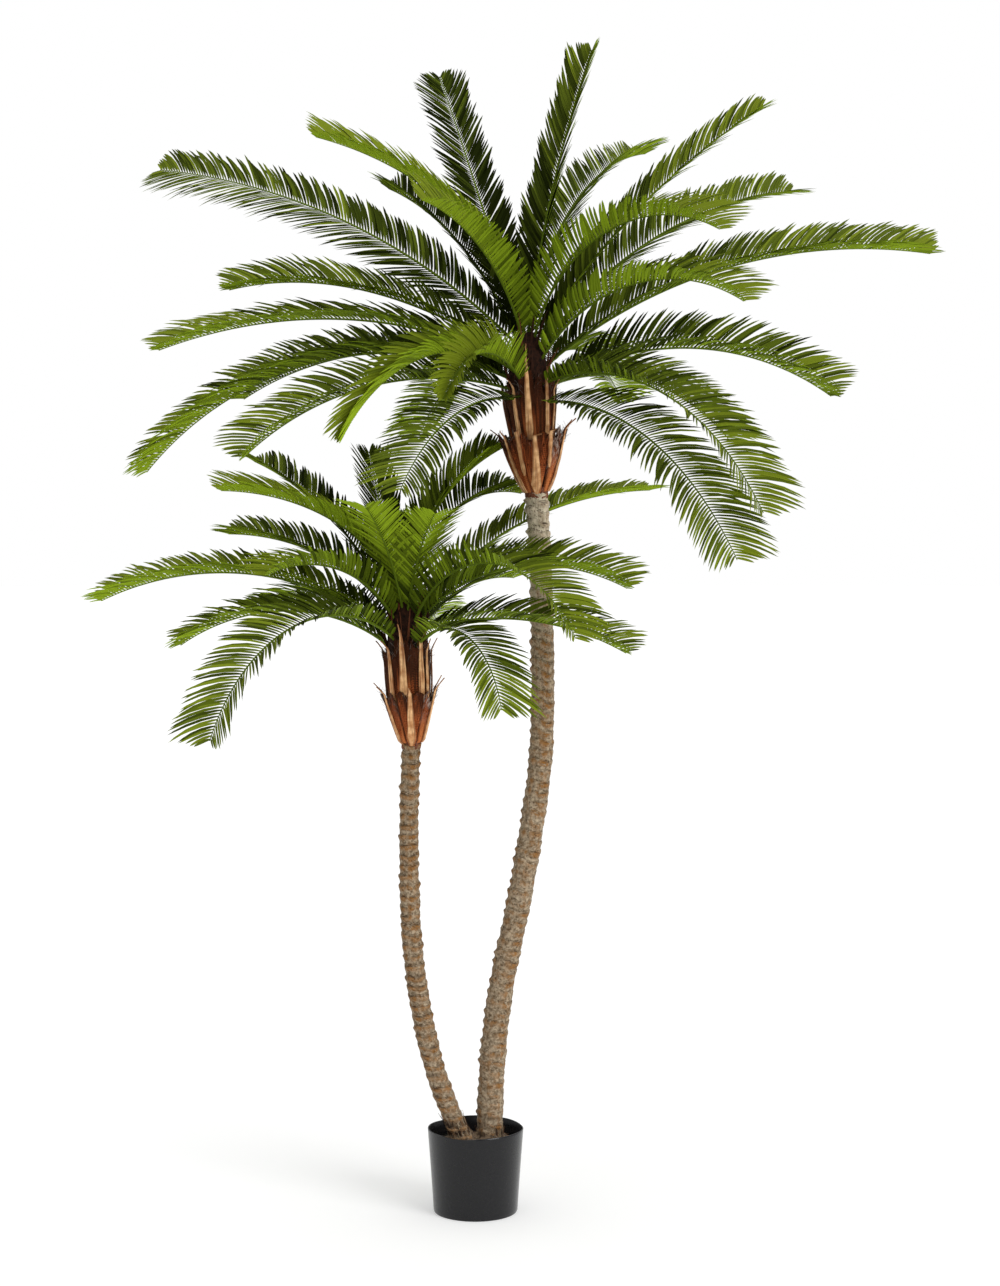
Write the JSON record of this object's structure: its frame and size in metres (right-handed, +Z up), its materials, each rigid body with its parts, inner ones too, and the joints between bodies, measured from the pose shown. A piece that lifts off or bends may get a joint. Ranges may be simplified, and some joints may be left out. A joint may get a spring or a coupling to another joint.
{
  "type": "artificial sago palm in a pot",
  "caption": "Artificial sago palm with slender curved stems in a plain round pot, each stem topped by a fibrous leaf sheath and a crown of arching feather fronds.",
  "frame": {"origin": "centre of the pot's flat underside", "axes": "+Z up along the plant's height, +X towards the taller stem, -Y towards the side seen in the picture"},
  "size_m": [1.8386, 1.3406, 2.4507],
  "materials": {
    "pot_plastic": "satin charcoal plastic",
    "heavy_fill": "rough dark cement fill",
    "bark_mound": "rough bark chips",
    "bark": "grey beige bark with ring scars",
    "crown_fibre": "dark brown palm fibre",
    "leaf_sheath": "woven red brown palm fibre",
    "frond": "satin green leaflets on a bright green rib"
  },
  "bodies": {
    "root": {"pot": "pot_plastic", "pot_fill": "heavy_fill", "root_mound": "bark_mound", "stem_tall": "bark", "stem_short": "bark", "tall_crown_core": "crown_fibre", "short_crown_core": "crown_fibre", "tall_sheath_lower": "leaf_sheath", "tall_sheath_upper": "leaf_sheath", "short_sheath_lower": "leaf_sheath", "short_sheath_upper": "leaf_sheath", "tall_frond_01": "frond", "tall_frond_02": "frond", "tall_frond_03": "frond", "tall_frond_04": "frond", "tall_frond_05": "frond", "tall_frond_06": "frond", "tall_frond_07": "frond", "tall_frond_08": "frond", "tall_frond_09": "frond", "tall_frond_10": "frond", "tall_frond_11": "frond", "tall_frond_12": "frond", "tall_frond_13": "frond", "tall_frond_14": "frond", "tall_frond_15": "frond", "tall_frond_16": "frond", "tall_frond_17": "frond", "tall_frond_18": "frond", "tall_frond_19": "frond", "tall_frond_20": "frond", "tall_frond_21": "frond", "tall_frond_22": "frond", "tall_frond_23": "frond", "tall_frond_24": "frond", "tall_frond_25": "frond", "tall_frond_26": "frond", "tall_frond_27": "frond", "short_frond_01": "frond", "short_frond_02": "frond", "short_frond_03": "frond", "short_frond_04": "frond", "short_frond_05": "frond", "short_frond_06": "frond", "short_frond_07": "frond", "short_frond_08": "frond", "short_frond_09": "frond", "short_frond_10": "frond", "short_frond_11": "frond", "short_frond_12": "frond", "short_frond_13": "frond", "short_frond_14": "frond", "short_frond_15": "frond", "short_frond_16": "frond", "short_frond_17": "frond", "short_frond_18": "frond", "short_frond_19": "frond", "short_frond_20": "frond", "short_frond_21": "frond"}
  },
  "joints": []
}
